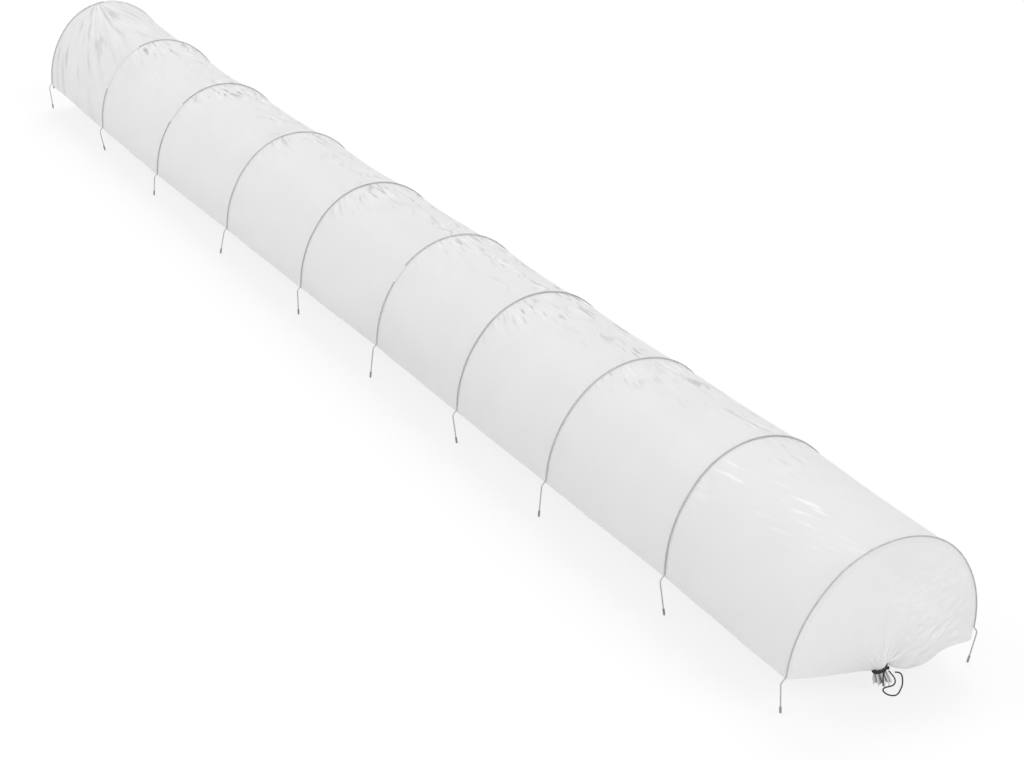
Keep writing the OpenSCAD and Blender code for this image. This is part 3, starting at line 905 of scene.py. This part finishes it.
cordShape = dict(width=0.003, sides=20, ringStep=0.0006, braidDepth=0.00017, strands=6, braidPitch=0.0065,
                 endShare=0.75, routeSteps=24)
tailRoute = [  # the free end's route, from the knot down to the ground and round its loop, in metres
    (0.009, -2.422, 0.049), (0.015, -2.424, 0.041), (0.022, -2.423, 0.032), (0.028, -2.419, 0.023),
    (0.032, -2.415, 0.014), (0.032, -2.411, 0.006), (0.027, -2.408, 0.0025), (0.019, -2.407, 0.002),
    (0.011, -2.408, 0.002), (0.005, -2.413, 0.002), (0.002, -2.421, 0.002), (0.002, -2.430, 0.002),
    (0.006, -2.438, 0.002), (0.014, -2.442, 0.002), (0.023, -2.439, 0.002), (0.032, -2.432, 0.002),
    (0.041, -2.424, 0.002), (0.050, -2.415, 0.002), (0.058, -2.405, 0.002), (0.065, -2.395, 0.002),
    (0.071, -2.385, 0.002), (0.075, -2.376, 0.002), (0.074, -2.368, 0.002), (0.068, -2.364, 0.002),
]


def smoothRoute(points, step):  # a smooth line through the points, in even steps
    points = np.asarray(points, float)
    padded = np.concatenate([2 * points[:1] - points[1:2], points, 2 * points[-1:] - points[-2:-1]])
    t = np.linspace(0, 1, cordShape["routeSteps"], endpoint=False)[:, None]
    fine = []
    for a, b, c, d in zip(padded, padded[1:], padded[2:], padded[3:]):
        square, cube = 2 * a - 5 * b + 4 * c - d, 3 * b - a - 3 * c + d
        fine.append(0.5 * (2 * b + (c - a) * t + square * t ** 2 + cube * t ** 3))
    fine = np.concatenate(fine + [points[-1:]])
    walked = np.concatenate([[0], np.cumsum(np.linalg.norm(np.diff(fine, axis=0), axis=1))])
    even = np.linspace(0, walked[-1], max(2, round(walked[-1] / step)))
    return np.stack([np.interp(even, walked, fine[:, k]) for k in range(3)], axis=1)


def braidTube(name, route):  # a round braid along a route, its strands crossing both ways
    line = smoothRoute(route, cordShape["ringStep"])
    ahead = np.gradient(line, axis=0)
    ahead /= np.linalg.norm(ahead, axis=1, keepdims=True)
    across = np.cross(ahead[0], (0.0, 0.0, 1.0))
    turn = np.linspace(0, 2 * np.pi, cordShape["sides"], endpoint=False)
    rings = []
    for k, (place, tangent) in enumerate(zip(line, ahead)):
        across = across - tangent * np.dot(across, tangent)
        across /= np.linalg.norm(across)
        over = np.cross(tangent, across)
        phase = 2 * np.pi * k * cordShape["ringStep"] / cordShape["braidPitch"]
        left = np.cos(cordShape["strands"] * turn / 2 + phase * 2)
        right = np.cos(cordShape["strands"] * turn / 2 - phase * 2)
        sunk = 1 - np.maximum(np.abs(left), np.abs(right))
        radius = cordShape["width"] / 2 - cordShape["braidDepth"] * sunk
        if k in (0, len(line) - 1):
            radius = radius * cordShape["endShare"]
        ring = np.cos(turn)[:, None] * across + np.sin(turn)[:, None] * over
        rings.append(place + radius[:, None] * ring)
    return closedRings(name, rings, blackBraid), line


tieLook = dict(  # turns are in degrees round the neck
    stepsPerTurn=40, looseTurn=-101, looseLength=0.027,
    looseShape=((1, 0.007), (0.6, 0.006), (0.25, 0.0045)),  # share of the drop, and how far out
    knotTurn=-35, knotRadius=0.004, knotPoints=60, knotDepth=1.6,
)


def makeTie(end):
    neck = neckOf(end)
    width, gap, turns = cordShape["width"], neckLook["tieGap"], neckLook["turns"]
    pitch = width + gap
    reach = neckLook["radius"] + gap + width / 2
    facing = 0 if end == "front" else 180
    start, knotAt = (math.radians(tieLook[k] + facing) for k in ("looseTurn", "knotTurn"))
    wind = np.linspace(0, 2 * np.pi * turns + knotAt - start, tieLook["stepsPerTurn"] * turns)
    across = reach * np.cos(start + wind)
    low = neck["top"] - pitch * (turns - 0.5)
    z = low + np.clip(wind / (2 * np.pi) - 0.5, 0, turns - 1) * pitch + neck["tilt"] * across
    wound = np.stack([neck["x"] + across, neck["y"] + reach * np.sin(start + wind), z], axis=1)
    outward = np.array([math.cos(start), math.sin(start), 0])
    down = np.array([0, 0, tieLook["looseLength"]])
    loose = [wound[0] + outward * out - drop * down for drop, out in tieLook["looseShape"]]
    tie, _ = braidTube(f"{end}_tie", np.concatenate([loose, wound[2:]]))
    finishPiece(tie, "draw_cord", f"{end}_cord_tie")
    outward = np.array([math.cos(knotAt), math.sin(knotAt), 0])
    knotReach = neckLook["radius"] + 2 * gap + tieLook["knotRadius"]
    middle = np.array([neck["x"], neck["y"], neck["top"] - pitch * turns / 2])
    t = np.linspace(0, 2 * np.pi, tieLook["knotPoints"])
    trefoil = np.stack([np.sin(t) + 2 * np.sin(2 * t), np.cos(t) - 2 * np.cos(2 * t),
                        -tieLook["knotDepth"] * np.sin(3 * t)], axis=1)
    axes = np.stack([np.array([-outward[1], outward[0], 0]), np.array([0, 0, 1.0]), outward])
    size = (tieLook["knotRadius"] - width / 2) / 3  # the trefoil reaches 3 from its middle
    knot, _ = braidTube(f"{end}_knot", middle + knotReach * outward + size * trefoil @ axes)
    finishPiece(knot, "draw_cord")


def makeTail():
    tail, line = braidTube("front_cord_tail_braid", tailRoute)
    finishPiece(tail, "draw_cord", "front_cord_tail")


# Frills: the film's pleated skirt below the tie, with painted shade in its pleat valleys

frillLook = dict(
    columns=192, rows=26, thickness=0.0005, pleats=9, pleatDepth=0.0048, neckPleat=0.0007,
    jitters=((2, 0.35), (5, 0.25)), tall=(3, 0.6, 0.4), raisedBelow=0.4, hemRadius=0.0160, hemRaise=0.008,
    hemLift=dict(front=0.008, rear=0.0), hemShift=dict(front=0.008, rear=0.0), capShares=(0.1, 0.6),
    paintedValleyShade=(0.55, 0.6), seed=5,
)


def makeFrill(end):
    look, neck, gap = frillLook, neckOf(end), neckLook["tieGap"]
    turn = np.linspace(0, 2 * np.pi, look["columns"], endpoint=False)
    rng = np.random.default_rng(endLook[end]["seed"] + look["seed"])
    jitter = sum(depth * np.sin(count * turn + rng.uniform(*anyPhase)) for count, depth in look["jitters"])
    pleat = np.arcsin(np.sin(look["pleats"] * turn + jitter)) * 2 / np.pi
    count, level, sway = look["tall"]
    tall = level + sway * np.sin(count * turn + rng.uniform(*anyPhase))
    tieHeight = neckLook["turns"] * (cordShape["width"] + gap)

    def ring(share, inset):  # share runs from the neck's top to the hem
        hem = neck["hem"] + look["hemLift"][end] + look["hemRaise"] * tall * (pleat < look["raisedBelow"])
        z = neck["top"] + (hem - neck["top"]) * share
        below = smoothStep(tieHeight / (neck["top"] - neck["hem"]), 1.0, share)
        radius = neckLook["radius"] + (look["hemRadius"] - neckLook["radius"]) * below - look["neckPleat"]
        radius = radius + pleat * (gap + (look["pleatDepth"] - gap) * below) - inset
        z = z + neck["tilt"] * radius * np.cos(turn) * (1 - below)
        x = neck["x"] + look["hemShift"][end] * below + radius * np.cos(turn)
        return np.stack([x, neck["y"] + radius * np.sin(turn), z], axis=-1)

    shares = np.linspace(0, 1, look["rows"])
    down = np.array([0, 0, look["thickness"]])
    middle = np.array([neck["x"], neck["y"], neck["top"]])
    under = middle - down
    outer = [ring(s, 0) for s in shares]
    inner = [ring(s, look["thickness"]) - down * (s == 0) for s in shares[::-1]]
    cap = [middle + (outer[0] - middle) * k for k in look["capShares"]]
    capBelow = [under + (inner[-1] - under) * k for k in look["capShares"][::-1]]
    rings = (cap + outer + inner + capBelow)[::-1]
    frill = closedRings(f"{end}_frill", rings, coverFilm)
    # painted shade: the pleat valleys are tinted toward the fold colour
    level, fall = look["paintedValleyShade"]
    paintedValleyShade = frill.data.attributes.new("paintedFoldShade", "FLOAT", "POINT")
    paintedValleyShade.data.foreach_set("value", np.tile(np.clip(level - fall * pleat, 0, 1), len(rings)))
    finishPiece(frill, "cover_film", f"{end}_gather_frill")


for end in ("front", "rear"):
    makeTie(end)
    makeFrill(end)
    makeEnd(end)
makeTail()
print("ends made")
